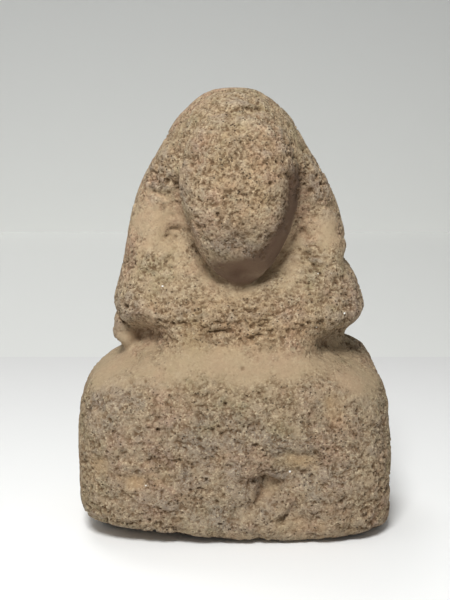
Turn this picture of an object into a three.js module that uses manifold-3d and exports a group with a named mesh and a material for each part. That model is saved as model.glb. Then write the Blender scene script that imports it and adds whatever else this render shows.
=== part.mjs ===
// A small hooded stone figure on a block, carved from one piece of coarse volcanic stone and worn
// almost smooth: a blank egg-shaped head bends out of a cape, over a block that serves as lap and base.
// Millimetres, +Z up, the figure looks along -Y. The origin is the middle of the underside.

import * as THREE from "three";
import { mergeVertices } from "three/addons/utils/BufferGeometryUtils.js";
import Module from "manifold-3d";

const wasm = await Module();
wasm.setup();

// Driving dimensions
const height = 220; // table to crown
const blockLeft = 80; // from the figure's axis
const blockRight = 79;
const blockFront = 52;
const blockBack = 47;

// Facets
const bodySteps = 72; // round the body
const headSteps = 48; // round the head
const rowsPerStation = 2;

// The body from the table up, one line for each height that shapes it. left, right, front and
// back are distances from the axis. square is 2 for an oval section and more for a boxy one.
const stations = [
  { z: 0, left: 0, right: 0, front: 0, back: 0, square: 4 }, // middle of the underside
  { z: 0, left: 66, right: 71, front: 44, back: 40, square: 3.6 },
  { z: 4, left: 74, right: 78, front: 50, back: 45, square: 4.2 },
  { z: 13, left: 79, right: blockRight, front: blockFront, back: blockBack, square: 4.6 },
  { z: 25, left: blockLeft, right: blockRight, front: blockFront, back: blockBack, square: 4.8 },
  { z: 38, left: blockLeft, right: blockRight, front: blockFront, back: blockBack, square: 4.7 },
  { z: 52, left: blockLeft, right: blockRight - 1, front: blockFront, back: blockBack, square: 4.5 },
  { z: 66, left: 79, right: 77, front: 51, back: 46, square: 4.2 },
  { z: 76, left: 74, right: 73, front: 49, back: 45, square: 3.8 },
  { z: 83, left: 66, right: 66, front: 46.5, back: 43, square: 3.3 }, // ledge in front of the waist
  { z: 89, left: 58, right: 57, front: 43, back: 41, square: 3 }, // waist
  { z: 97, left: 64, right: 58, front: 39.5, back: 40, square: 2.9 }, // hem of the cape
  { z: 104, left: 61, right: 62, front: 38.5, back: 40, square: 2.8 },
  { z: 112, left: 63, right: 66, front: 37.5, back: 40, square: 2.8 }, // elbows
  { z: 126, left: 59, right: 61, front: 32, back: 39, square: 2.6 },
  { z: 141, left: 56, right: 57, front: 29, back: 38, square: 2.6 },
  { z: 160, left: 52, right: 52, front: 31, back: 36, square: 2.5 }, // shoulders
  { z: 176, left: 46, right: 45, front: 34, back: 32, square: 2.3 },
  { z: 190, left: 38, right: 36, front: 36, back: 27, square: 2.15 }, // temples
  { z: 204, left: 30, right: 28, front: 34, back: 20, square: 2.1 },
  { z: 214, left: 20, right: 18, front: 26, back: 12, square: 2 }, // brow of the hood
  { z: height - 1, left: 11, right: 9, front: 14, back: 4, square: 2 },
  { z: height, left: 0, right: 0, front: 0, back: 0, square: 2 }, // crown
];

// Soft hollows and swellings of the body. The surface near at moves by push, fading out over reach.
const dents = [
  { at: [2, -34, 152], reach: [30, 30, 22], push: [0, 17, 0] }, // groove round the cheeks and chin
  { at: [3, -28, 134], reach: [19, 30, 9], push: [0, 10, 0] }, // its lower end, below the chin
  { at: [34, -26, 158], reach: [9, 30, 20], push: [0, 6, 0] }, // its deeper side
  { at: [-32, -26, 156], reach: [8, 30, 16], push: [0, 4, 0] },
  { at: [-56, -40, 99], reach: [16, 24, 8], push: [14, 18, 0] }, // pocket under the left elbow
  { at: [60, -34, 95], reach: [16, 24, 7], push: [-12, 14, 0] }, // pocket under the right elbow
  { at: [62, 20, 85], reach: [12, 24, 8], push: [3, 0, 4] }, // ridge that closes it behind
  { at: [60, -8, 136], reach: [8, 20, 5], push: [-3, 0, 0] }, // chip in the right side
  { at: [14, -52, 29], reach: [9, 12, 9], push: [0, 4.5, 0] }, // hollows in the front of the block
  { at: [28, -52, 18], reach: [7, 12, 6], push: [0, 2.5, 0] },
  { at: [29, -52, 39], reach: [14, 12, 11], push: [0, 2, 0] },
  { at: [-50, -52, 0], reach: [46, 17, 5], push: [0, 0, 3.5] }, // lifted left front edge
  { at: [64, -52, 0], reach: [24, 17, 5], push: [0, 0, 3] },
];

// The head from its root inside the hood to the middle of the face: at each depth y it is an egg that
// stands on its point, widest at x, z. half is half its width, up and down are its heights from there.
const headStations = [
  { y: -6, x: 2, z: 172, half: 0, up: 0, down: 0 }, // root
  { y: -8, x: 2, z: 172, half: 24, up: 32, down: 38 },
  { y: -21, x: 2, z: 172, half: 29.5, up: 37, down: 49 }, // where it leaves the cape
  { y: -30, x: 1, z: 172.5, half: 28.7, up: 36, down: 45.5 },
  { y: -36, x: 0.5, z: 173, half: 27, up: 33.5, down: 40.5 }, // rim of the face
  { y: -41, x: 0.3, z: 173, half: 23.5, up: 29, down: 35.5 },
  { y: -45, x: 0.2, z: 173, half: 15, up: 18.5, down: 23 },
  { y: -46.5, x: 0, z: 173, half: 0, up: 0, down: 0 }, // middle of the face
];
const headLean = -8; // degrees about X, from its root
const headNarrowing = 0.17; // share of the width that is gone at the chin
const headSquare = 2.05; // as square in the stations

const stone = new THREE.MeshStandardMaterial({ color: 0xa08c70, roughness: 0.95, metalness: 0 });

// A closed three.js geometry as a solid that can be joined and cut.
function solidOf(geometry) {
  const bare = geometry.clone();
  bare.deleteAttribute("normal");
  bare.deleteAttribute("uv");
  const merged = mergeVertices(bare, 1e-4);
  return new wasm.Manifold(
    new wasm.Mesh({
      numProp: 3,
      vertProperties: merged.getAttribute("position").array,
      triVerts: new Uint32Array(merged.index.array),
    }),
  );
}

// A solid back as a three.js geometry.
function geometryOf(solid) {
  const { vertProperties, triVerts } = solid.getMesh();
  const geometry = new THREE.BufferGeometry();
  geometry.setAttribute("position", new THREE.BufferAttribute(vertProperties, 3));
  geometry.setIndex(new THREE.BufferAttribute(triVerts, 1));
  geometry.computeVertexNormals();
  return geometry;
}

// How far a superellipse with half-axes of 1 reaches at an angle.
function reachAt(angle, square) {
  const c = Math.abs(Math.cos(angle));
  const s = Math.abs(Math.sin(angle));
  return (c ** square + s ** square) ** (-1 / square);
}

// A smooth curve through three values of every station.
function curveThrough(stations, valuesOf) {
  return new THREE.CatmullRomCurve3(
    stations.map((station) => new THREE.Vector3(...valuesOf(station))),
    false,
    "centripetal",
  );
}

// A closed solid of sections, two rows to a station. sectionAt takes the share of the way from the
// first station to the last and gives a function from the angle round the section to a point.
function sweptSolid(stations, steps, sectionAt) {
  const rows = (stations.length - 1) * rowsPerStation;
  const geometry = new THREE.SphereGeometry(1, steps, rows);
  const position = geometry.getAttribute("position");
  for (let row = 0; row <= rows; row++) {
    const pointAt = sectionAt(1 - row / rows); // the sphere's first row is the last station
    for (let step = 0; step <= steps; step++) {
      const angle = ((step % steps) / steps) * 2 * Math.PI;
      position.setXYZ(row * (steps + 1) + step, ...pointAt(angle).toArray());
    }
  }
  return solidOf(geometry);
}

// Moves a point by every dent that reaches it.
function dented(point) {
  const moved = point.clone();
  for (const { at, reach, push } of dents) {
    const steps = point.toArray().map((value, axis) => (value - at[axis]) / reach[axis]);
    const share = Math.exp(-steps.reduce((sum, step) => sum + step * step, 0));
    moved.addScaledVector(new THREE.Vector3(...push), share);
  }
  return moved;
}

// The block, waist, cape and hood in one sweep from the underside to the crown.
function bodySolid() {
  const widthsAndHeight = curveThrough(stations, (s) => [s.left, s.right, s.z]);
  const depthsAndSquare = curveThrough(stations, (s) => [s.front, s.back, s.square]);
  return sweptSolid(stations, bodySteps, (share) => {
    const { x: left, y: right, z } = widthsAndHeight.getPoint(share);
    const { x: front, y: back, z: square } = depthsAndSquare.getPoint(share);
    return (angle) => {
      const reach = reachAt(angle, square);
      const x = Math.cos(angle) * reach * (Math.cos(angle) > 0 ? right : left);
      const y = Math.sin(angle) * reach * (Math.sin(angle) > 0 ? back : front);
      return dented(new THREE.Vector3(x, y, Math.max(0, z))); // the curve may dip below 0
    };
  });
}

// The head, from its root to the face.
function headSolid() {
  const root = new THREE.Vector3(headStations[0].x, headStations[0].y, headStations[0].z);
  const axis = new THREE.Vector3(1, 0, 0);
  const lean = THREE.MathUtils.degToRad(headLean);
  const middle = curveThrough(headStations, (s) => [s.x, s.y, s.z]);
  const sizes = curveThrough(headStations, (s) => [s.half, s.up, s.down]);
  return sweptSolid(headStations, headSteps, (share) => {
    const { x: half, y: up, z: down } = sizes.getPoint(share);
    return (angle) => {
      const reach = reachAt(angle, headSquare);
      const rise = Math.sin(angle) * reach;
      const width = half * (1 - headNarrowing * Math.max(0, -rise));
      const fromMiddle = new THREE.Vector3(Math.cos(angle) * reach * width, 0, rise * (rise > 0 ? up : down));
      return middle.getPoint(share).add(fromMiddle).sub(root).applyAxisAngle(axis, lean).add(root);
    };
  });
}

const statue = new THREE.Mesh(geometryOf(bodySolid().add(headSolid())), stone);
statue.name = "stone_figure";

// The box of the figure is centred over the origin.
const box = new THREE.Box3().setFromObject(statue);
statue.geometry.translate(-(box.min.x + box.max.x) / 2, -(box.min.y + box.max.y) / 2, -box.min.z);

const group = new THREE.Group();
group.add(statue);

export default group;
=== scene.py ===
import math
import bpy
import numpy as np
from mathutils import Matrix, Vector, noise


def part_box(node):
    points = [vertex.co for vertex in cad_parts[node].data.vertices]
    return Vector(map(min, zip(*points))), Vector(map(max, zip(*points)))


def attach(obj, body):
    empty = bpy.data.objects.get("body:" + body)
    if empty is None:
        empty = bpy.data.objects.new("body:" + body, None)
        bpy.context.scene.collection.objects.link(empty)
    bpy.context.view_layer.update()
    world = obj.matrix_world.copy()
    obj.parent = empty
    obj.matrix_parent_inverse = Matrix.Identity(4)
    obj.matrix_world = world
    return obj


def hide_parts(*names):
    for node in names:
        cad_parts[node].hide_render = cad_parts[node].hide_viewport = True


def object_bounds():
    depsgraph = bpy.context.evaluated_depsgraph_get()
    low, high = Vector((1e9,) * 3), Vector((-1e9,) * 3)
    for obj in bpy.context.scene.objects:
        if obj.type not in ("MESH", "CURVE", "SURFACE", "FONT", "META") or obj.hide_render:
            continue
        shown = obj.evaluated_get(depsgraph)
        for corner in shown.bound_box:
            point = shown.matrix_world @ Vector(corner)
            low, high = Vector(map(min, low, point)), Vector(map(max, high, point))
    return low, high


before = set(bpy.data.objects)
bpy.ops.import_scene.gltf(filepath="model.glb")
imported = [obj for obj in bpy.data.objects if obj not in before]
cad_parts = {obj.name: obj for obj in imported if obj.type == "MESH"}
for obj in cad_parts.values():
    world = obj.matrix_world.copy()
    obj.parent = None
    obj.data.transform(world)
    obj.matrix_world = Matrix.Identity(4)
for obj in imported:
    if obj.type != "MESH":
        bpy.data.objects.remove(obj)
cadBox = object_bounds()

mm = 0.001
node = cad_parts["stone_figure"]

print("stone figure: start")


# Camera

cameraSetup = {
    "lens": 70,           # mm
    "sensor": 36,         # mm
    "distance": 0.597,    # m
    "elevation": 11,      # degrees above the horizon
    "aside": -0.005,      # m, the aim from the middle of the box
    "behind": 0.0025,
    "aimHeight": 0.5132,  # share of the figure's height
    "clip": (0.01, 20),   # m, nearest and farthest
}


def makeCamera():
    lo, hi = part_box("stone_figure")
    middle = (lo + hi) / 2
    aim = Vector((
        middle.x + cameraSetup["aside"],
        middle.y + cameraSetup["behind"],
        lo.z + (hi.z - lo.z) * cameraSetup["aimHeight"],
    ))
    rise = math.radians(cameraSetup["elevation"])
    look = Vector((0, math.cos(rise), -math.sin(rise)))
    data = bpy.data.cameras.new("camera")
    data.lens = cameraSetup["lens"]
    data.sensor_width = cameraSetup["sensor"]
    data.clip_start, data.clip_end = cameraSetup["clip"]
    camera = bpy.data.objects.new("camera", data)
    camera.location = aim - look * cameraSetup["distance"]
    camera.rotation_euler = look.to_track_quat("-Z", "Y").to_euler()
    bpy.context.scene.collection.objects.link(camera)
    bpy.context.scene.camera = camera


makeCamera()
print("camera ready")


# Points and normals as arrays, in millimetres

def readPoints(mesh):
    flat = np.empty(len(mesh.vertices) * 3, np.float32)
    mesh.vertices.foreach_get("co", flat)
    return flat.reshape(-1, 3).astype(float) / mm


def readNormals(mesh):
    flat = np.empty(len(mesh.vertices) * 3, np.float32)
    mesh.vertex_normals.foreach_get("vector", flat)
    return flat.reshape(-1, 3).astype(float)


def writePoints(mesh, points):
    mesh.vertices.foreach_set("co", (points * mm).astype(np.float32).ravel())
    mesh.update()


def readEdges(mesh):
    flat = np.empty(len(mesh.edges) * 2, np.int32)
    mesh.edges.foreach_get("vertices", flat)
    return flat.reshape(-1, 2)


def spread(values, edges, rounds):
    # evens a value out over its neighbours
    a, b = edges[:, 0], edges[:, 1]
    count = np.bincount(a, minlength=len(values)) + np.bincount(b, minlength=len(values))
    for _ in range(rounds):
        total = np.bincount(a, values[b], len(values)) + np.bincount(b, values[a], len(values))
        values = (values + total / np.maximum(count, 1)) / 2
    return values


def step(low, high, values):
    share = np.clip((values - low) / (high - low), 0, 1)
    return share * share * (3 - 2 * share)


def spot(points, at, reach, edge=2):
    # 1 at a place, fading out over its reach; a higher edge gives a flatter middle and a steeper rim
    away = (points - np.array(at)) / np.array(reach)
    return np.exp(-np.sum(away * away, axis=1) ** (edge / 2))


def nearLine(points, line, width):
    # 1 on a line through a few places, fading out over its width
    nearest = np.full(len(points), np.inf)
    for start, end in zip(line[:-1], line[1:]):
        start, end = np.array(start, float), np.array(end, float)
        along = end - start
        share = np.clip((points - start) @ along / (along @ along), 0, 1)
        away = points - start - share[:, None] * along
        nearest = np.minimum(nearest, np.sum(away * away, axis=1))
    return np.exp(-nearest / width ** 2)


# Noise over the points

noiseSetup = {
    "seedStep": 7.31,     # how far each seed moves the lumps
    "fade": 0.9,          # of the finer octaves
    "finer": 2.1,         # times finer, each octave
    "pitSeedStep": 3.17,
    "chanceStep": 13.7,   # keeps the chances of neighbouring pits apart
    "smallest": 0.6,      # pit, as a share of the radius
    "larger": 0.8,        # what the largest pit has above that
}


def lumps(points, size, seed, octaves=1, stretch=(1, 1, 1)):
    scaled = points / (np.array(stretch) * size) + seed * noiseSetup["seedStep"]
    if octaves == 1:
        return np.array([noise.noise(p) for p in scaled])
    fade, finer = noiseSetup["fade"], noiseSetup["finer"]
    return np.array([noise.fractal(p, fade, finer, octaves) for p in scaled])


def pitField(points, cell, share, radius, seed):
    # round-bottomed holes, one in some of the cells
    scaled = points / cell + seed * noiseSetup["pitSeedStep"]
    smallest, larger, chanceStep = noiseSetup["smallest"], noiseSetup["larger"], noiseSetup["chanceStep"]
    depth = np.zeros(len(points))
    for i, p in enumerate(scaled):
        distances, places = noise.voronoi(p)
        chance = noise.cell(places[0] * chanceStep) * 0.5 + 0.5
        if chance < share:
            reach = radius * (smallest + larger * chance / share)
            depth[i] = max(0.0, 1 - (distances[0] * cell / reach) ** 2)
    return depth


# Work on the form, given one by one, in millimetres: the skin near a place, or near a line through a few
# places,
# moves by push

handWork = [
    # the hood stands a little proud of the cape
    {"at": (-39, -14, 184), "reach": (12, 14, 11), "push": (-0.6, -1.8, 0), "edge": 5},
    {"at": (42, -12, 178), "reach": (12, 14, 13), "push": (0.8, -1.8, 0), "edge": 5},
    {"at": (3, -20, 216), "reach": (14, 12, 6), "push": (0, -1.4, 0), "edge": 4},
    # elbows
    {"at": (-53, -22, 115), "reach": (10, 12, 8), "push": (-0.6, -3, 0), "edge": 3},
    {"at": (57, -18, 116), "reach": (10, 13, 11), "push": (0.5, -2.6, 0), "edge": 3},
    # nick in the right side
    {"at": (60, -8, 142), "reach": (6, 24, 3.5), "push": (1, 0, 0), "edge": 3},
    {"at": (60, -8, 135), "reach": (8, 24, 4.5), "push": (-1.8, 0, 0), "edge": 3},
    # scars in the front of the block
    {"at": (15.5, -48, 27.5), "reach": (6.5, 8, 6.5), "push": (0, 4.4, 0), "edge": 4},
    {"at": (9.5, -49, 26.5), "reach": (3, 8, 4.4), "push": (0, -2.6, 0), "edge": 4},
    {"at": (5, -49, 18), "reach": (8, 8, 4.5), "push": (0, 1.6, 0), "edge": 4},
    {"at": (28, -49, 11), "reach": (10, 8, 6), "push": (0, 1.8, 0), "edge": 4},
    {"at": (30, -49, 39), "reach": (12, 8, 8.5), "push": (0, 1.7, 0), "edge": 8},
    {"at": (-47, -49, 34), "reach": (8, 8, 5), "push": (0, 1.8, 0), "edge": 4},
    {"at": (-66, -44, 40), "reach": (6, 8, 5), "push": (0.6, 1.4, 0), "edge": 4},
    {"at": (-53, -48, 61), "reach": (8, 8, 3.5), "push": (0, 1.5, 0), "edge": 4},
    {"at": (12, -48, 1), "reach": (3, 6, 3), "push": (0, 1.5, 1.5), "edge": 3},
    # the worn lower edge overhangs the table
    {"at": (-54, -50, 1), "reach": (38, 13, 4.8), "push": (0, 10, 2.6), "edge": 4},
    {"at": (-71, -41, 1), "reach": (23, 18, 6.5), "push": (1, 4, 4), "edge": 2},
    {"at": (12, -48, 0), "reach": (60, 6, 2), "push": (0, 3, 0.8), "edge": 4},
    {"at": (74, -42, 1), "reach": (9, 12, 4), "push": (-2, 5, 2), "edge": 3},
    # lobe behind the left elbow
    {"at": (-57, -13, 101), "reach": (8.5, 14, 8.5), "push": (-3, -8, 0), "edge": 3},
    {"at": (-65, -12, 110), "reach": (6, 24, 2.8), "push": (3.6, 0, 0), "edge": 2},
    {"at": (-60, -6, 93), "reach": (10, 26, 4.5), "push": (2.2, 0, 0), "edge": 2},
    # the lower face turns under
    {"at": (3, -47, 138), "reach": (26, 12, 18), "push": (0, 5, 0), "edge": 2},
    {"at": (5, -46, 126), "reach": (24, 18, 12), "push": (0, 8, 0), "edge": 4},
    # the right side of the head stands back
    {"at": (36, -36, 152), "reach": (12, 14, 22), "push": (1, 5, 0), "edge": 4},
    # shallow flat by the block's upper right corner
    {"at": (47, -47, 69), "reach": (4.5, 6, 9), "push": (0, 1.6, 0), "edge": 8},
]

cuts = [
    # channel between head and cape
    {"line": [(34, -22, 176), (34.5, -20, 162), (30, -17, 148),
              (22, -17, 138), (12, -19, 129), (4, -22, 125)],
     "width": 4, "push": (0, 3.2, 0)},
    {"line": [(-31, -24, 173), (-31, -21, 160), (-26, -19, 147),
              (-18, -18, 138), (-8, -20, 129), (3, -22, 125)],
     "width": 4, "push": (0, 0.8, 0)},
    # rim of the hood over the brow
    {"line": [(-3.5, -31, 206), (-1, -29, 209.5), (5, -26, 211), (10, -25.5, 209)],
     "width": 1.3, "push": (0, 1.8, -0.8)},
    # hem of the hood on both sides
    {"line": [(-46, -10, 171), (-39, -17, 170), (-33, -21, 168), (-29, -24, 172), (-28.5, -26, 178)],
     "width": 2.2, "push": (0.4, 2.4, 0)},
    {"line": [(34, -20, 165), (41, -15, 163), (51, -6, 162)], "width": 2, "push": (-0.4, 1.6, 0)},
    # small curled scars in the cape
    {"line": [(-32, -16, 151.5), (-28, -16, 152)], "width": 1.4, "push": (0, 3, 0.5)},
    {"line": [(-35, -17, 147.5), (-32.5, -16, 149), (-30, -16, 148)], "width": 1.3, "push": (0, 2.6, 0.5)},
    {"line": [(-31.5, -17, 145.5), (-30.5, -17, 146.5), (-29.5, -17, 145.5)],
     "width": 1.3, "push": (0, 2.6, 0.5)},
    {"line": [(-33.5, -20, 137), (-32, -20, 138.5), (-31, -20, 137)], "width": 1.4, "push": (0, 3, 0.5)},
    {"line": [(29, -13, 146), (31, -12.5, 149.5), (34, -13.5, 150.5), (36, -14, 148)],
     "width": 1.5, "push": (0, 3.2, 0.6)},
    {"line": [(29, -15.5, 140), (32, -15.5, 140.5), (34.5, -16, 138.5), (36, -19, 135.5), (38, -20.5, 132)],
     "width": 1.6, "push": (0, 3.4, 0.6)},
    {"line": [(29, -18, 136), (31.5, -19, 135), (34, -20, 134)], "width": 1.5, "push": (0, 3, 0.6)},
    # edges of the scars in the block
    {"line": [(19, -48, 46), (30, -49, 48), (41, -48, 46.5)], "width": 1.4, "push": (0, 1.4, 0)},
    {"line": [(8.5, -47, 31.7), (13.9, -46, 33.4)], "width": 1.5, "push": (0, 3.6, 0.6)},
    {"line": [(14.8, -46.5, 35.2), (17.7, -46.5, 33.8), (20.6, -46.5, 31.3)],
     "width": 1.4, "push": (0, 2.4, 0)},
    {"line": [(12.6, -46, 29), (12.6, -46, 25.5), (11, -47, 22.6)], "width": 1.2, "push": (0, 1.2, 0)},
    {"line": [(17.7, -48, 22.2), (20.6, -48, 17.5)], "width": 1.2, "push": (0, 1.5, 0)},
    {"line": [(23, -48.5, 12.7), (26.5, -48, 16.5), (28.5, -47.5, 20.2)], "width": 1.6, "push": (0, 3, 0)},
    # under the rim of the face
    {"line": [(-23, -30, 153), (-17, -32, 142), (-8, -34, 134.5), (2, -35, 131.5)],
     "width": 4, "push": (0, 1.2, 0.5)},
    # edge of the shallow flat in the block
    {"line": [(41, -47, 60), (42, -47, 77), (51, -45, 79)], "width": 1.2, "push": (0, 1.1, 0)},
    # inner edge of the lobe
    {"line": [(-56, -13, 109), (-52.5, -13, 103.5), (-49, -13, 99), (-48.5, -13, 95), (-51, -12, 91)],
     "width": 2.2, "push": (0.5, 4.2, 0)},
]

# Single deep pits: place, radius, depth
pits = [
    ((7.8, -22, 214), 1.5, 1.6),
    ((18, -29, 201.5), 1.6, 1.6),
    ((21, -27, 196), 1.3, 1.2),
    ((34, -12, 190), 1.6, 1.5),
    ((36, -15, 183), 1.9, 1.9),
    ((40, -14, 177), 1.7, 1.7),
    ((37, -17, 171), 1.9, 1.9),
    ((42, -15, 166), 1.4, 1.3),
    ((-33, -22, 176), 1.8, 1.6),
    ((-28.5, -25, 174), 1.6, 2.2),
    ((-32, -20, 148.5), 1.3, 1.3),
    ((-30, -20, 143), 1.1, 1.1),
    ((-31, -20, 153), 1.1, 1.0),
    ((32, -18, 148), 1.7, 1.6),
    ((34, -20, 138), 1.7, 1.6),
    ((37, -22, 132), 1.4, 1.3),
    ((-0.7, -31, 118), 0.9, 1.6),
    ((0.3, -34, 113), 1.2, 1.2),
    ((-24, -34, 112), 1.5, 1.5),
    ((-31, -33, 107.5), 1.5, 1.5),
    ((-9, -35, 105), 1.8, 1.6),
    ((18, -35, 103), 1.5, 1.4),
    ((31, -34, 104), 1.5, 1.3),
    ((-41, -28, 117), 1.4, 1.4),
    ((-51, -40, 81), 1.3, 1.5),
    ((-49.5, -41, 79), 1.1, 1.2),
    ((-52, -42, 76), 1.3, 1.5),
    ((-63, -42.5, 66), 1.2, 1.3),
    ((-61, -43, 63), 1.1, 1.2),
    ((-10.5, -50, 60), 1.2, 1.6),
    ((-8.5, -50, 61), 1.1, 1.5),
    ((4.5, -49, 65.5), 1.0, 1.4),
    ((8.4, -50, 52), 1.0, 1.8),
    ((10.2, -50, 52.2), 1.0, 1.8),
    ((45, -48, 49.5), 1.2, 1.8),
    ((3.6, -42, 88), 1.1, 1.3),
    ((-14, -49, 38), 1.2, 1.5),
    ((61, -44, 62), 1.1, 1.3),
    ((-66, -40, 74), 1.2, 1.1),
]

# Where the stone is worn calm
calmPlaces = [
    {"at": (-41, -14, 157), "reach": (14, 16, 14), "share": 1},
    {"at": (44, -10, 151), "reach": (14, 16, 14), "share": 1},
    {"at": (2, -18, 132), "reach": (28, 16, 14), "share": 0.95},
    {"at": (5, -31, 131), "reach": (18, 14, 11), "share": 1.3, "edge": 4},
    {"at": (22, -30, 143), "reach": (9, 9, 12), "share": 1.2, "edge": 4},
    {"at": (28, -27, 158), "reach": (6, 9, 12), "share": 1.1, "edge": 4},
    {"at": (0, -39, 89), "reach": (80, 14, 10), "share": 1.1, "edge": 3},
    {"at": (-4, -30, 112), "reach": (24, 14, 10), "share": 0.4},
    {"at": (16, -46, 26), "reach": (7, 8, 7), "share": 0.8, "edge": 4},
    {"at": (2, -26, 124), "reach": (10, 10, 5), "share": 1, "edge": 3},
    {"at": (7, -48, 17), "reach": (10, 8, 5), "share": 0.5},
    {"at": (28, -48, 11), "reach": (10, 8, 6), "share": 0.7},
    {"at": (30, -48, 42), "reach": (10, 8, 6), "share": 0.6},
    {"at": (0, -48, 4), "reach": (70, 10, 4), "share": 0.45, "edge": 4},
    {"at": (-52, -26, 98), "reach": (14, 18, 9), "share": 1.3, "edge": 3},
    {"at": (55, -26, 93), "reach": (14, 18, 7), "share": 1.3, "edge": 3},
    {"at": (-30, -19, 146), "reach": (10, 12, 16), "share": 1},
    {"at": (29, -19, 145), "reach": (10, 12, 17), "share": 1.1},
    {"at": (-62, -16, 84), "reach": (22, 36, 11), "share": 1.2, "edge": 3},
    {"at": (62, -28, 80), "reach": (22, 24, 8), "share": 1.1},
    {"at": (-58, -46, 62), "reach": (16, 10, 12), "share": 0.4},
    {"at": (-47, -48, 34), "reach": (9, 8, 6), "share": 0.5},
    {"at": (-66, -44, 41), "reach": (7, 8, 6), "share": 0.6},
    {"at": (47.5, -47, 70), "reach": (5, 8, 9), "share": 0.7},
    {"at": (9.5, -50, 26), "reach": (3, 6, 4), "share": 0.9, "edge": 4},
    {"at": (-58, -22, 86), "reach": (16, 20, 8), "share": 0.9},
    {"at": (60, -22, 86), "reach": (16, 20, 8), "share": 0.9},
    {"at": (-60, 0, 99), "reach": (8, 18, 9), "share": 0.7},
]

# Where it is broken and rough
raggedPlaces = [
    {"at": (0, -34, 109), "reach": (46, 18, 9), "share": 1, "edge": 4},
    {"at": (-40, -16, 177), "reach": (13, 12, 7), "share": 0.9, "edge": 3},
    {"at": (39, -14, 176), "reach": (11, 16, 17), "share": 1, "edge": 3},
    {"at": (19, -27, 200), "reach": (8, 9, 9), "share": 1},
    {"at": (38, -18, 138), "reach": (5, 9, 10), "share": 0.8},
    {"at": (-31, -19, 149), "reach": (4, 8, 6), "share": 0.3},
    {"at": (54, -20, 118), "reach": (12, 14, 12), "share": 0.6},
    {"at": (-55, -20, 118), "reach": (9, 14, 9), "share": 0.8},
]

# Where it is stained
rustPlaces = [
    {"at": (-46, -49, 34), "reach": (8, 8, 5), "share": 1},
    {"at": (-68, -42, 42), "reach": (5, 8, 5), "share": 0.7},
    {"at": (45, -47, 73), "reach": (3, 8, 8), "share": 0.6, "edge": 3},
    {"at": (48, -47, 62), "reach": (4, 8, 6), "share": 0.5, "edge": 3},
    {"at": (31, -48, 43), "reach": (10, 8, 4), "share": 0.8, "edge": 3},
    {"at": (17, -47, 22), "reach": (7, 8, 8), "share": 0.3},
    {"at": (-17, -49, 27), "reach": (10, 8, 6), "share": 0.5},
    {"at": (9.5, -50, 26), "reach": (3, 6, 4), "share": 0.3},
    {"at": (33, -48, 10), "reach": (14, 8, 5), "share": 0.4},
    {"at": (6, -45, 180), "reach": (20, 12, 22), "share": 0.55},
    {"at": (0, -33, 108), "reach": (52, 14, 13), "share": 0.6, "edge": 3},
]

# Where it is rubbed grey
greyPlaces = [
    {"at": (2, -44, 144), "reach": (22, 12, 12), "share": 1},
    {"at": (24, -40, 155), "reach": (6, 12, 12), "share": 0.7},
    {"at": (-26, -36, 172), "reach": (5, 12, 9), "share": 0.7},
    {"at": (-56, -22, 117), "reach": (9, 12, 9), "share": 0.7},
    {"at": (-60, -6, 99), "reach": (7, 18, 9), "share": 1},
    {"at": (60, -16, 118), "reach": (9, 12, 14), "share": 0.6},
    {"at": (-60, -42, 68), "reach": (20, 14, 16), "share": 1},
    {"at": (0, -50, 36), "reach": (76, 14, 34), "share": 0.6, "edge": 6},
    {"at": (0, -48, 56), "reach": (22, 10, 12), "share": 0.7},
    {"at": (38, -46, 72), "reach": (7, 10, 8), "share": 0.6},
    {"at": (66, -40, 58), "reach": (12, 14, 24), "share": 0.6},
    {"at": (0, -46, 4), "reach": (60, 10, 5), "share": 0.6, "edge": 4},
    {"at": (0, 30, 120), "reach": (90, 40, 110), "share": 0.5, "edge": 4},
]

# Painted shade: dark brown on the sides that face away from the light, under the chin, in the pockets and
# under the lifted lower edge
paintedShadePlaces = [
    {"at": (9, -44, 143), "reach": (19, 10, 10), "share": 0.35, "edge": 3},
    {"at": (4, -25, 128), "reach": (17, 10, 6), "share": 1, "edge": 3},
    {"at": (-24, -24, 150), "reach": (7, 12, 16), "share": 0.5},
    {"at": (16, -46, 27), "reach": (7, 8, 8), "share": 0.7},
    {"at": (-50, -26, 100), "reach": (8, 14, 7), "share": 0.12},
    {"at": (-64, 4, 97), "reach": (7, 14, 8), "share": 0.3},
    {"at": (52, -24, 96), "reach": (12, 14, 6), "share": 0.8},
    {"at": (-46, -42, 1), "reach": (44, 16, 4), "share": 1, "edge": 4},
    {"at": (-48, -14, 97), "reach": (4, 14, 8), "share": 0.5},
    {"at": (66, -40, 1), "reach": (18, 16, 3.5), "share": 0.8, "edge": 4},
    {"at": (0, -34, 106), "reach": (50, 14, 8), "share": 0.4},
]

# Its band of painted shade under the chin and up the right side of the head
paintedShadeBand = [
    (-6, -32, 130), (5, -34, 132), (13, -33, 135), (20, -32, 142),
    (25, -31, 151), (29, -29, 164), (31, -28, 176),
]

# The lower face is a little darker all over: painted shade where it turns from the light
lowerFaceShadePlaces = [{"at": (3, -46, 149), "reach": (22, 16, 13), "share": 0.3}]

# The face keeps its grain everywhere
facePlaces = [{"at": (1, -46, 174), "reach": (25, 9, 36), "share": 1, "edge": 6}]


def shapeByHand(points):
    moved = points.copy()
    for mark in handWork:
        share = spot(points, mark["at"], mark["reach"], mark["edge"])
        moved += share[:, None] * np.array(mark["push"])
    for cut in cuts:
        moved += nearLine(points, cut["line"], cut["width"])[:, None] * np.array(cut["push"])
    return moved


def strongest(points, places):
    most = np.zeros(len(points))
    for place in places:
        here = place["share"] * spot(points, place["at"], place["reach"], place.get("edge", 2))
        most = np.maximum(most, here)
    return most


# The figure: the solid without its facets, on an even skin of small faces, then relief and wear.
# Lengths are in millimetres.

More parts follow.
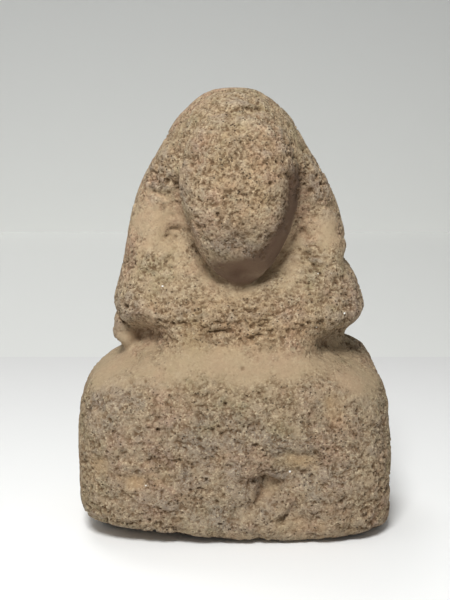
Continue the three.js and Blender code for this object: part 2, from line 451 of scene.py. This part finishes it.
figure = {
    # skin
    "weld": 0.01,
    "coarse": 1.2,       # skin that the facets are smoothed on
    "rounds": 5,         # of smoothing
    "ease": 0.5,         # of each round
    "fine": 0.7,         # skin that takes the relief
    "triangles": 197000,
    # depth of the relief
    "swell": 0.8,        # broad lumps
    "hewn": 1.9,         # uneven hewing
    "clumps": 1.9,       # rounded clumps with creases between them
    "creases": 0.5,      # share of the finer clumps among them
    "clumpLevel": 0.3,   # share of a clump that lies below the skin
    "clumpLeast": 0.35,  # share of the clumps that every place has
    "clumpRise": (-0.2, 0.3),  # of their pattern, from there to all of them
    "grains": 1.8,
    "grainLevel": 0.2,   # as clumpLevel
    "ragged": 3.4,
    "proudest": 0.5,     # the tops are worn down to this
    "calmShare": 0.1,    # of the relief that is left where the skin is calm
    "calmPatches": 0.55,  # how uneven the calm is
    "bigPits": 1.9,
    "smallPits": 1.5,
    "pitReach": 3,       # how far a single pit reaches inwards, above its radius
    "pitHeight": 0.85,   # of a single pit, as a share of its radius
    "pitEdge": 3,
    "underside": (2.5, 0.5),  # above the table, where the relief fades away
    "underShare": 0.5,   # of the hollows that are left there
    # painted shade, stains and worn tops
    "lightFrom": (-0.45, -0.35, 0.82),  # the side the light comes from
    "facingLight": (0.42, 0.08),        # how far a place faces the light where the painted shade stops, and is whole
    "shadeBandWidth": 9,
    "shadeBandShare": 1.8,    # above 1, so the middle of the band is all painted shade
    "shadeBandPatches": 0.5,  # how uneven the band is
    "paintedShadeShare": 0.9,
    "paintedShadePatches": 0.1,
    "stainPatches": 1.2,
    "concaveShadeRounds": 10,     # of easing, which set how broad a hollow counts for the painted shade
    "concaveShadeDepth": (0.03, 0.4),
    "wornRounds": 90,
    "wornHeight": (0.1, 0.9),
    "wornSoft": 6,
}

# Patterns of the relief. size and cell are how wide their features are.
patterns = {
    "patches": {"size": 9, "seed": 1, "octaves": 3},
    "swell": {"size": 18, "seed": 2},
    "clumps": {"size": 4.2, "seed": 3},
    "creases": {"size": 2.9, "seed": 9},
    "hewn": {"size": 7, "seed": 5, "octaves": 3, "stretch": (1.3, 1, 0.9)},
    "clumped": {"size": 6, "seed": 12},
    "grains": {"size": 1.9, "seed": 4},
    "ragged": {"size": 4.6, "seed": 6, "octaves": 3, "stretch": (1.7, 1, 0.7)},
    "blotches": {"size": 7, "seed": 11, "octaves": 2},
    "bigPits": {"cell": 6.5, "share": 0.3, "radius": 1.5, "seed": 7},
    "smallPits": {"cell": 2.6, "share": 0.45, "radius": 0.75, "seed": 8},
}


def withModifiers(piece):
    graph = bpy.context.evaluated_depsgraph_get()
    mesh = bpy.data.meshes.new_from_object(piece.evaluated_get(graph))
    piece.modifiers.clear()
    old = piece.data
    piece.data = mesh
    bpy.data.meshes.remove(old)


def addRemesh(piece, size):
    remesh = piece.modifiers.new("skin", "REMESH")
    remesh.mode = "VOXEL"
    remesh.voxel_size = size * mm
    remesh.adaptivity = 0


def makeForm():
    piece = bpy.data.objects.new("jizo_stone", node.data.copy())
    bpy.context.scene.collection.objects.link(piece)
    weld = piece.modifiers.new("weld", "WELD")
    weld.merge_threshold = figure["weld"] * mm
    addRemesh(piece, figure["coarse"])
    smooth = piece.modifiers.new("ease", "SMOOTH")
    smooth.factor = figure["ease"]
    smooth.iterations = figure["rounds"]
    withModifiers(piece)
    addRemesh(piece, figure["fine"])
    withModifiers(piece)
    writePoints(piece.data, shapeByHand(readPoints(piece.data)))
    addRemesh(piece, figure["fine"])  # evens out the faces that the hand work stretched
    withModifiers(piece)
    return piece


stone = makeForm()
print("form ready:", len(stone.data.vertices), "points")


def wornDown(height, most):
    # lets the hollows be and flattens what stands proud
    return np.where(height < 0, height, most * np.tanh(height / most))


def makeRelief(piece):
    mesh = piece.data
    points, normals, edges = readPoints(mesh), readNormals(mesh), readEdges(mesh)

    def pattern(name):
        return lumps(points, **patterns[name])

    patchy = pattern("patches")
    face = strongest(points, facePlaces)
    calm = strongest(points, calmPlaces) + figure["calmPatches"] * patchy
    calm = np.clip(calm * (1 - face), 0, 1)
    ragged = np.clip(strongest(points, raggedPlaces) * (1 + patchy), 0, 1)
    rough = 1 - (1 - figure["calmShare"]) * calm * (1 - ragged)
    swell = figure["swell"] * pattern("swell")

    clumps = np.abs(pattern("clumps")) + figure["creases"] * np.abs(pattern("creases"))
    height = figure["hewn"] * pattern("hewn")
    least = figure["clumpLeast"]
    clumped = least + (1 - least) * step(*figure["clumpRise"], pattern("clumped"))
    height += figure["clumps"] * (clumps - figure["clumpLevel"]) * clumped
    height += figure["grains"] * (np.abs(pattern("grains")) - figure["grainLevel"])
    height += ragged * figure["ragged"] * pattern("ragged")
    height = wornDown(height * rough, figure["proudest"])
    print("lumps done")

    deep = pitField(points, **patterns["bigPits"])
    small = pitField(points, **patterns["smallPits"])
    height -= rough * (figure["bigPits"] * deep + figure["smallPits"] * small)
    for at, radius, depth in pits:
        reach = (radius, radius + figure["pitReach"], radius * figure["pitHeight"])
        height -= depth * spot(points, at, reach, figure["pitEdge"])
    print("pits done")

    under = step(*figure["underside"], points[:, 2])
    height = height * (1 - under) + under * np.minimum(height, 0) * figure["underShare"]
    points = points + normals * (height + swell * (1 - under))[:, None]

    # the finished skin fills the same box as the solid
    lo, hi = np.array(cadBox[0]) / mm, np.array(cadBox[1]) / mm
    lowest, highest = points.min(axis=0), points.max(axis=0)
    points = lo + (points - lowest) / (highest - lowest) * (hi - lo)
    writePoints(mesh, points)

    # painted shade stays on the sides that look down and to the right, away from the light
    shadeBand = figure["shadeBandShare"] + figure["shadeBandPatches"] * patchy
    shadeBand = shadeBand * nearLine(points, paintedShadeBand, figure["shadeBandWidth"])
    paintedShade = np.clip(np.maximum(strongest(points, paintedShadePlaces), shadeBand), 0, 1)
    paintedShade = paintedShade * (figure["paintedShadeShare"] + figure["paintedShadePatches"] * patchy)
    paintedShade = paintedShade * step(*figure["facingLight"], normals @ np.array(figure["lightFrom"]))

    def proudOf(rounds):
        eased = np.stack([spread(points[:, axis], edges, rounds) for axis in range(3)], axis=1)
        return np.sum((points - eased) * normals, axis=1)

    stained = 1 + figure["stainPatches"] * patchy
    rubbed = 1 + figure["stainPatches"] * pattern("blotches")
    worn = spread(proudOf(figure["wornRounds"]), edges, figure["wornSoft"])
    return {
        # painted shade in hollows: where the skin lies below its eased self
        "concaveShade": step(*figure["concaveShadeDepth"], -proudOf(figure["concaveShadeRounds"])),
        "worn": step(*figure["wornHeight"], worn),
        "calm": calm * (1 - ragged),
        # painted shade, with the lower face
        "paintedShade": np.maximum(paintedShade, strongest(points, lowerFaceShadePlaces)),
        "rust": np.clip(strongest(points, rustPlaces) * stained, 0, 1),
        "grey": np.clip(strongest(points, greyPlaces) * rubbed, 0, 1),
    }


masks = makeRelief(stone)
for name, values in masks.items():
    attribute = stone.data.attributes.new(name, "FLOAT", "POINT")
    attribute.data.foreach_set("value", values.astype(np.float32))
print("relief ready")

triangleCount = sum(len(p.vertices) - 2 for p in stone.data.polygons)
decimate = stone.modifiers.new("thin", "DECIMATE")
decimate.ratio = figure["triangles"] / triangleCount
decimate.use_collapse_triangulate = True
withModifiers(stone)
lo, hi = np.array(cadBox[0]) / mm, np.array(cadBox[1]) / mm
writePoints(stone.data, np.clip(readPoints(stone.data), lo, hi))
for polygon in stone.data.polygons:
    polygon.use_smooth = True
print("skin ready:", len(stone.data.polygons), "triangles")

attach(stone, "root")
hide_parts("stone_figure")


# Finish of the stone

def linear(red, green, blue):
    # a colour given as 0 to 255, as the shader wants it
    channels = [value / 255 for value in (red, green, blue)]
    return tuple(c / 12.92 if c <= 0.04045 else ((c + 0.055) / 1.055) ** 2.4 for c in channels) + (1,)


def addNode(tree, kind, inputs=None, **settings):
    made = tree.nodes.new(kind)
    for name, value in settings.items():
        setattr(made, name, value)
    for name, value in (inputs or {}).items():
        if isinstance(value, bpy.types.NodeSocket):
            tree.links.new(value, made.inputs[name])
        else:
            made.inputs[name].default_value = value
    return made


def addMix(tree, share, first, second, blend="MIX"):
    made = addNode(tree, "ShaderNodeMix", data_type="RGBA", blend_type=blend, clamp_factor=True)
    for index, value in ((0, share), (6, first), (7, second)):
        if isinstance(value, bpy.types.NodeSocket):
            tree.links.new(value, made.inputs[index])
        else:
            made.inputs[index].default_value = value
    return made.outputs[2]


def addMath(tree, operation, first, second):
    made = addNode(tree, "ShaderNodeMath", {0: first, 1: second}, operation=operation)
    return made.outputs[0]


def addRange(tree, value, start, end, least=0.0, most=1.0):
    # least at start and most at end, held there beyond them
    made = addNode(tree, "ShaderNodeMapRange", {
        "Value": value, "From Min": start, "From Max": end, "To Min": least, "To Max": most,
    }, clamp=True)
    return made.outputs["Result"]


def addShade(tree, colour, brightness):
    grey = addNode(tree, "ShaderNodeCombineColor", {
        "Red": brightness, "Green": brightness, "Blue": brightness,
    }).outputs["Color"]
    return addMix(tree, 1.0, colour, grey, "MULTIPLY")


stoneLook = {
    "tan": linear(170, 149, 120),
    "olive": linear(161, 145, 113),
    "rosy": linear(172, 142, 116),
    "paleTan": linear(184, 167, 138),
    "grey": linear(155, 142, 127),
    "dust": linear(172, 151, 121),
    "rust": linear(181, 149, 109),
    "darkGrain": linear(118, 95, 71),
    "paleGrain": linear(206, 188, 157),
    # painted shade
    "paintedShade": linear(91, 70, 56),
    # painted shade in hollows
    "shadedHollow": linear(101, 76, 52),
    # painted shade in small holes
    "shadedHole": linear(60, 46, 34),
    # painted highlight of the glints
    "paintedGlint": linear(250, 248, 240),
    # patterns to a metre
    "broad": 36,
    "patches": 120,
    "palePatches": 204,
    "clumps": 360,
    "fineClumps": 648,
    "grains": 1200,
    "specks": 640,
    "glints": 160,
    # where each pattern starts and where it is whole
    "broadEdge": (0.4, 0.6),
    "patchEdge": (0.42, 0.6),
    "paleEdge": (0.55, 0.72),
    "lowEdge": (0.085, 0.14),     # m above the table: painted shade, whole below the first and gone above the second
    "clumpEdge": (0.3, 0.7),
    "darkChance": (0.3, 0.1),
    "paleChance": (0.8, 0.95),
    "speckChance": (0.2, 0.18),
    "speckEdge": (0.34, 0.2),
    "glintChance": (0.9, 0.91),
    "glintEdge": (0.1, 0.06),
    # how much of each colour there is
    "wornShare": 0.6,
    "greyShare": 0.8,
    "dustShare": 0.7,
    "rustShare": 0.55,
    "darkShare": 0.72,
    "paleShare": 0.45,
    "shadedHollowShare": (0.8, 0.4),    # of the painted shade in hollows, on rough skin and on calm
    "shadedHoleShare": 0.7,
    "calmGrain": 0.2,             # of the grain that calm skin has
    "low": 0.85,                  # brightness near the table, painted shade
    "clumpShade": (0.71, 1.29),
    # gloss and bump
    "roughness": 0.95,
    "glintRoughness": 0.35,
    "specular": 0.25,
    "bump": 0.0011,               # m
    "grainDepth": 0.35,
    "holeDepth": 0.7,
}


def makeStoneFinish():
    look = stoneLook
    material = bpy.data.materials.new("weathered_stone")
    material.use_nodes = True
    tree = material.node_tree
    shader = tree.nodes["Principled BSDF"]
    place = addNode(tree, "ShaderNodeTexCoord").outputs["Object"]

    def mask(name):
        return addNode(tree, "ShaderNodeAttribute", attribute_name=name).outputs["Fac"]

    def cloud(scale, detail=3, rough=0.55):
        return addNode(tree, "ShaderNodeTexNoise", {
            "Vector": place, "Scale": scale, "Detail": detail, "Roughness": rough,
        }).outputs["Fac"]

    def cells(scale):
        return addNode(tree, "ShaderNodeTexVoronoi", {"Vector": place, "Scale": scale})

    def part(colour, name):
        return addNode(tree, "ShaderNodeSeparateColor", {"Color": colour}).outputs[name]

    def times(first, second):
        return addMath(tree, "MULTIPLY", first, second)

    def less(first, second):
        return addMath(tree, "SUBTRACT", first, second)

    calm, concaveShade, worn, rust, grey = mask("calm"), mask("concaveShade"), mask("worn"), mask("rust"), mask("grey")
    # the painted shade
    paintedShade = mask("paintedShade")

    # ground colour
    broad = addRange(tree, cloud(look["broad"]), *look["broadEdge"])
    patches = addRange(tree, cloud(look["patches"], 4, 0.6), *look["patchEdge"])
    palePatches = addRange(tree, cloud(look["palePatches"], 4, 0.6), *look["paleEdge"])
    ground = addMix(tree, broad, look["olive"], look["rosy"])
    ground = addMix(tree, patches, ground, look["tan"])
    ground = addMix(tree, palePatches, ground, look["paleTan"])
    greyer = addMath(tree, "MAXIMUM", times(worn, look["wornShare"]), times(grey, look["greyShare"]))
    ground = addMix(tree, greyer, ground, look["grey"])
    ground = addMix(tree, times(calm, look["dustShare"]), ground, look["dust"])
    ground = addMix(tree, times(rust, look["rustShare"]), ground, look["rust"])

    # painted shade: darker towards the table
    up = addNode(tree, "ShaderNodeSeparateXYZ", {"Vector": place}).outputs["Z"]
    ground = addShade(tree, ground, addRange(tree, up, *look["lowEdge"], look["low"]))

    # grains
    rough = addRange(tree, calm, 0, 1, 1, look["calmGrain"])
    grain = cells(look["grains"])
    chance = part(grain.outputs["Color"], "Red")
    dark = times(addRange(tree, chance, *look["darkChance"]), times(rough, look["darkShare"]))
    pale = times(addRange(tree, chance, *look["paleChance"]), times(rough, look["paleShare"]))
    skin = addMix(tree, dark, ground, look["darkGrain"])
    skin = addMix(tree, pale, skin, look["paleGrain"])
    clump = addRange(tree, cloud(look["clumps"], 3, 0.65), *look["clumpEdge"], *look["clumpShade"])
    skin = addMix(tree, rough, skin, addShade(tree, skin, clump))

    # painted shade: dark brown on the sides away from the light, brown in hollows and dark in small holes
    skin = addMix(tree, paintedShade, skin, look["paintedShade"])
    # painted shade in the hollows, less on calm skin
    shadedHollow = times(concaveShade, addRange(tree, calm, 0, 1, *look["shadedHollowShare"]))
    skin = addMix(tree, shadedHollow, skin, look["shadedHollow"])
    speck = cells(look["specks"])
    chosen = addRange(tree, part(speck.outputs["Color"], "Green"), *look["speckChance"])
    near = addRange(tree, speck.outputs["Distance"], *look["speckEdge"])
    # small holes, sunk by the bump and painted dark as their shade
    shadedHole = times(times(near, chosen), rough)
    skin = addMix(tree, times(shadedHole, look["shadedHoleShare"]), skin, look["shadedHole"])

    # glints of clear grains: painted highlights in white, and glossier than the rest
    paintedGlint = cells(look["glints"])
    chosen = addRange(tree, part(paintedGlint.outputs["Color"], "Blue"), *look["glintChance"])
    near = addRange(tree, paintedGlint.outputs["Distance"], *look["glintEdge"])
    shine = times(near, chosen)
    skin = addMix(tree, shine, skin, look["paintedGlint"])
    roughness = addRange(tree, shine, 0, 1, look["roughness"], look["glintRoughness"])
    tree.links.new(skin, shader.inputs["Base Color"])
    tree.links.new(roughness, shader.inputs["Roughness"])
    shader.inputs["Specular IOR Level"].default_value = look["specular"]

    # fine relief
    height = cloud(look["fineClumps"], 4, 0.75)
    height = less(height, times(grain.outputs["Distance"], look["grainDepth"]))
    height = less(height, times(shadedHole, look["holeDepth"]))
    height = times(height, rough)
    bump = addNode(tree, "ShaderNodeBump", {"Height": height, "Distance": look["bump"], "Strength": 1.0})
    tree.links.new(bump.outputs["Normal"], shader.inputs["Normal"])
    return material


stone.data.materials.clear()
stone.data.materials.append(makeStoneFinish())
print("finish ready")


# Stage and light

# the floor and the wall are toned with painted shade: the table darker towards its far edge, the wall
# towards its top
stage = {
    "front": linear(245, 246, 245),
    "edge": linear(214, 214, 213),
    "beyond": linear(219, 220, 217),
    "far": linear(229, 230, 227),
    "top": linear(196, 197, 195),
    "nearAt": -0.1,      # m, where the painted shade on the table begins
    "edgeAt": 0.34,      # m behind the figure, where it ends
    "wallAt": 1.1,       # m behind the figure
    "topAt": 0.32,       # m, height where the painted shade on the wall is darkest
    "wallHalf": 4,       # m, half its width, and its height
    "half": 30,          # m, half the floor
    "roughness": 0.8,
    "world": 0.3,        # brightness of the room
}

lights = [
    {"name": "key", "place": (-0.15, -0.82, 1.12), "aim": (0, 0, 0.1), "size": 0.4, "power": 16.6},
    {"name": "fill", "place": (-1.3, -0.5, 0.9), "aim": (0, 0, 0.1), "size": 1.2, "power": 2},
    {"name": "back", "place": (-0.45, 0.75, 1.4), "aim": (-0.1, 0.5, 0), "size": 0.8, "power": 5.8},
]


def tonedMaterial(name, axis, tones):
    # tones are pairs of a place along the axis and a colour, in order
    material = bpy.data.materials.new(name)
    material.use_nodes = True
    tree = material.node_tree
    place = addNode(tree, "ShaderNodeTexCoord").outputs["Object"]
    along = addNode(tree, "ShaderNodeSeparateXYZ", {"Vector": place}).outputs[axis]
    colour = tones[0][1]
    for (start, _), (end, tone) in zip(tones[:-1], tones[1:]):
        colour = addMix(tree, addRange(tree, along, start, end), colour, tone)
    shader = tree.nodes["Principled BSDF"]
    tree.links.new(colour, shader.inputs["Base Color"])
    shader.inputs["Roughness"].default_value = stage["roughness"]
    return material


def addPlane(name, corners, material):
    mesh = bpy.data.meshes.new(name)
    mesh.from_pydata(corners, [], [(0, 1, 2, 3)])
    mesh.materials.append(material)
    thing = bpy.data.objects.new(name, mesh)
    bpy.context.scene.collection.objects.link(thing)


def makeStage():
    half, edgeAt, wallAt = stage["half"], stage["edgeAt"], stage["wallAt"]
    wide = stage["wallHalf"]
    floor = [(-half, -half, 0), (half, -half, 0), (half, half, 0), (-half, half, 0)]
    wall = [(-wide, wallAt, 0), (wide, wallAt, 0), (wide, wallAt, wide), (-wide, wallAt, wide)]
    addPlane("floor", floor, tonedMaterial("floor", "Y", [
        (stage["nearAt"], stage["front"]),
        (edgeAt, stage["edge"]),
        (edgeAt + mm, stage["beyond"]),
        (wallAt, stage["far"]),
    ]))
    addPlane("wall", wall, tonedMaterial("wall", "Z", [(0, stage["far"]), (stage["topAt"], stage["top"])]))


def makeLights():
    for lamp in lights:
        data = bpy.data.lights.new(lamp["name"], "AREA")
        data.shape = "DISK"
        data.size = lamp["size"]
        data.energy = lamp["power"]
        light = bpy.data.objects.new(lamp["name"], data)
        light.location = lamp["place"]
        look = Vector(lamp["aim"]) - Vector(lamp["place"])
        light.rotation_euler = look.to_track_quat("-Z", "Y").to_euler()
        bpy.context.scene.collection.objects.link(light)
    world = bpy.data.worlds.new("world")
    world.use_nodes = True
    background = world.node_tree.nodes["Background"]
    background.inputs["Color"].default_value = (1, 1, 1, 1)
    background.inputs["Strength"].default_value = stage["world"]
    bpy.context.scene.world = world
    bpy.context.scene.view_settings.view_transform = "Standard"


makeStage()
makeLights()
print("stage ready")
